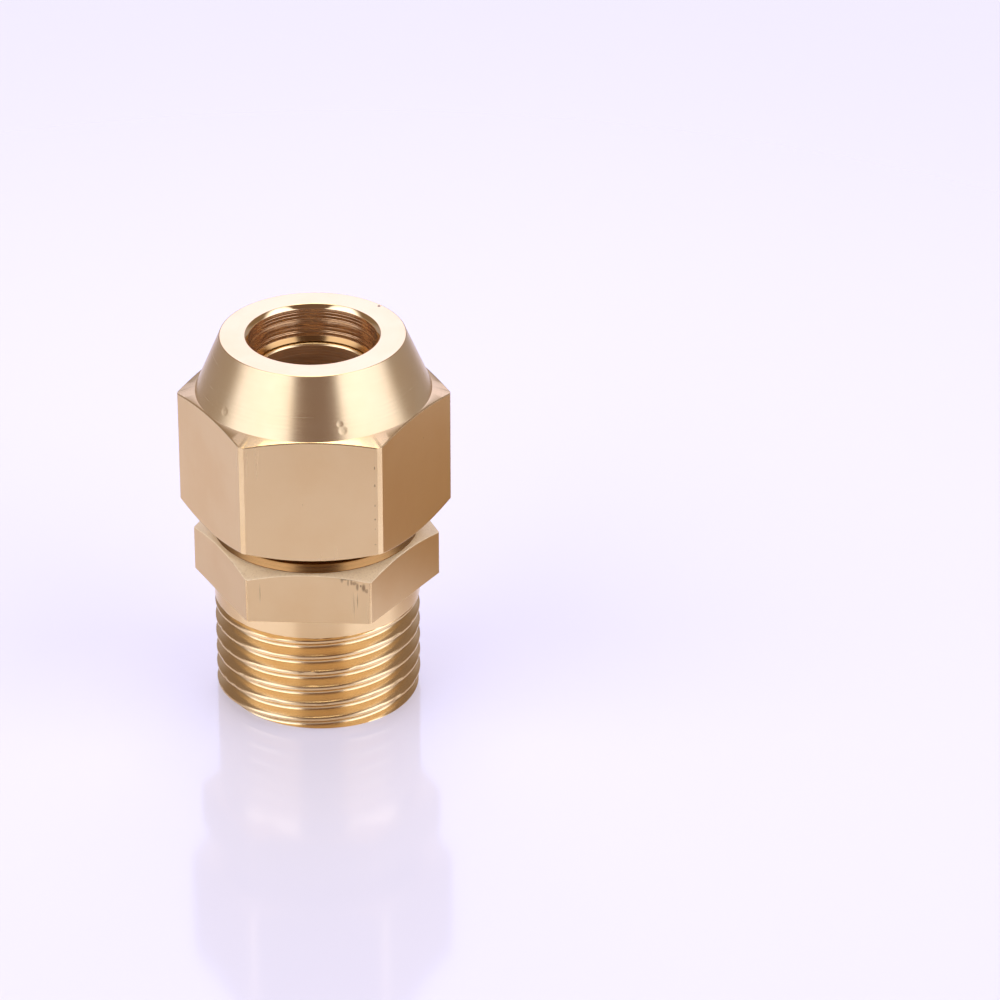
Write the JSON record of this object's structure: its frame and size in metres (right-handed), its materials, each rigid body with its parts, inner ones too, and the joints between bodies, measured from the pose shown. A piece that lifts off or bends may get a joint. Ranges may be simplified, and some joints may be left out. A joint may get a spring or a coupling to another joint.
{
  "type": "cable gland",
  "caption": "Brass compression cable gland: hexagon body with a pipe thread at its entry, and a cone-nosed hexagon nut that squeezes a rubber seal round the cable.",
  "frame": {"origin": "centre of the entry thread's end face, on the gland's own axis", "axes": "+Z along the axis, from the entry thread to the nut's mouth; +X towards a corner of the nut's hexagon, -Y square to one of its flats"},
  "size_m": [0.0278, 0.024, 0.04],
  "materials": {
    "body_brass": "turned and drawn, bare",
    "nut_brass": "turned and drawn, bare",
    "ferrule_brass": "turned, bare",
    "washer_brass": "stamped, bare",
    "seal_rubber": "moulded, matt"
  },
  "bodies": {
    "body": {"gland_body": "body_brass", "seat_washer": "washer_brass", "sealing_sleeve": "seal_rubber"},
    "ferrule": {"thrust_ferrule": "ferrule_brass"},
    "nut": {"gland_nut": "nut_brass"}
  },
  "joints": [
    {"name": "ferrule_travel", "type": "slide", "parent": "body", "child": "ferrule", "axis": [0, 0, 1], "range_m": [-0.0019, 0.0054], "deforming": ["sealing_sleeve"]},
    {"name": "nut_turn", "type": "hinge", "parent": "ferrule", "child": "nut", "pos_m": [0, 0, 0.0206], "axis": [0, 0, 1], "range_deg": [-450, 1260]}
  ],
  "couplings": [
    {"joint": "ferrule_travel", "follows": "nut_turn", "m_per_rad": 0.00023873}
  ]
}
